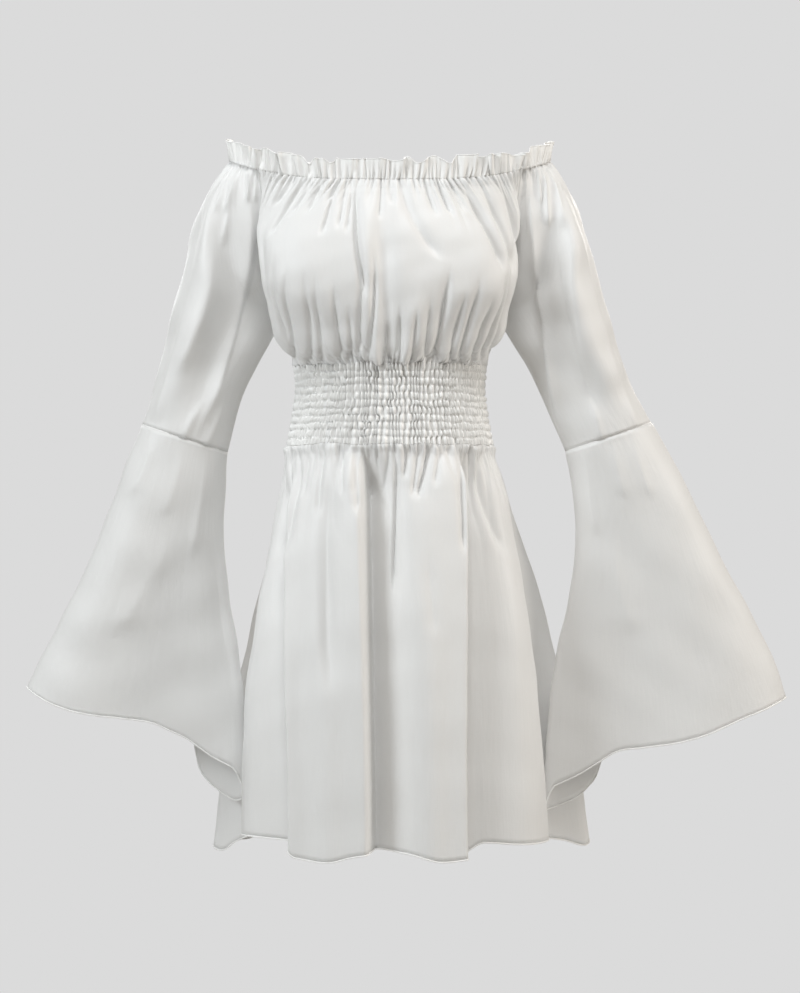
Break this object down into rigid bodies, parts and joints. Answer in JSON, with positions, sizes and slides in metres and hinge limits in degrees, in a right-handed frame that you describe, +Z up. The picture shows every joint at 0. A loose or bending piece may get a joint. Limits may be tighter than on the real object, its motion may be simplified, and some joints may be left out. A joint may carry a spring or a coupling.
{
  "type": "off-shoulder dress",
  "caption": "Short white off-shoulder dress, worn and filled out: frilled elastic neckline, gathered bodice, shirred waist, flared skirt and raglan sleeves ending in wide bell cuffs.",
  "frame": {"origin": "middle of the elastic neckline, where the wearer's shoulders hold the dress", "axes": "+Z up along the body, -Y out of the front, +X towards the wearer's left sleeve"},
  "size_m": [0.993, 0.3198, 0.9342],
  "materials": {
    "neck_frill": "white woven polyester with a soft sheen, gathered on elastic",
    "bodice_front": "white woven polyester with a soft sheen",
    "bodice_back": "white woven polyester with a soft sheen",
    "waist_front": "white woven polyester shirred on elastic thread",
    "waist_back": "white woven polyester shirred on elastic thread",
    "skirt_front": "white woven polyester with a soft sheen",
    "skirt_back": "white woven polyester with a soft sheen",
    "sleeve_left": "white woven polyester with a soft sheen",
    "sleeve_right": "white woven polyester with a soft sheen",
    "bell_left": "white woven polyester with a soft sheen",
    "bell_right": "white woven polyester with a soft sheen"
  },
  "bodies": {
    "root": {"neck_frill": "neck_frill", "bodice_front": "bodice_front", "bodice_back": "bodice_back", "waist_front": "waist_front", "waist_back": "waist_back", "skirt_front": "skirt_front", "skirt_back": "skirt_back", "sleeve_left": "sleeve_left", "sleeve_right": "sleeve_right", "bell_left": "bell_left", "bell_right": "bell_right"}
  },
  "joints": []
}
